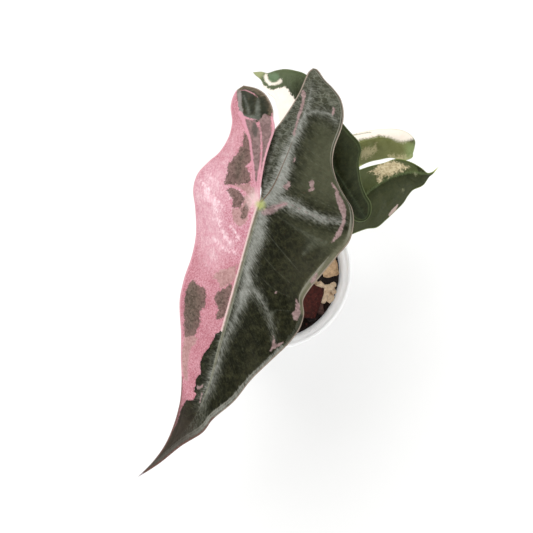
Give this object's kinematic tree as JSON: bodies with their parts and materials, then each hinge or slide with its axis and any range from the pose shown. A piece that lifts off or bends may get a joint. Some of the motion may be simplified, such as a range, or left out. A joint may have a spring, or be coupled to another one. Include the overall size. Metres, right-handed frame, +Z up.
{
  "type": "potted foliage plant",
  "caption": "Potted aroid with long arrow-shaped leaves, pink and dark green variegation, in a small round white plastic nursery pot of chunky bark mix.",
  "frame": {"origin": "middle of the pot's foot, on the surface that the pot stands on", "axes": "+Z up; -Y towards the lower edge of the picture, where the long front leaf points; +X to the right in the picture"},
  "size_m": [0.1492, 0.2011, 0.191],
  "materials": {
    "pot": "satin white",
    "potting_mix": "rough bark, pumice and compost",
    "stem": "dry papery sheaths",
    "petiole": "satin pale green, faintly mottled",
    "front_blade": "satin, half pink and half dark green, silvery along the veins",
    "back_blade": "satin dark green with a cream sector",
    "right_blade": "satin dark green with cream patches",
    "low_blade": "satin olive green with a cream half"
  },
  "bodies": {
    "root": {"pot": "pot", "potting_mix": "potting_mix", "stem_base": "stem", "front_petiole": "petiole", "back_petiole": "petiole", "right_petiole": "petiole", "low_petiole": "petiole", "front_blade": "front_blade", "back_blade": "back_blade", "right_blade": "right_blade", "low_blade": "low_blade"}
  },
  "joints": []
}
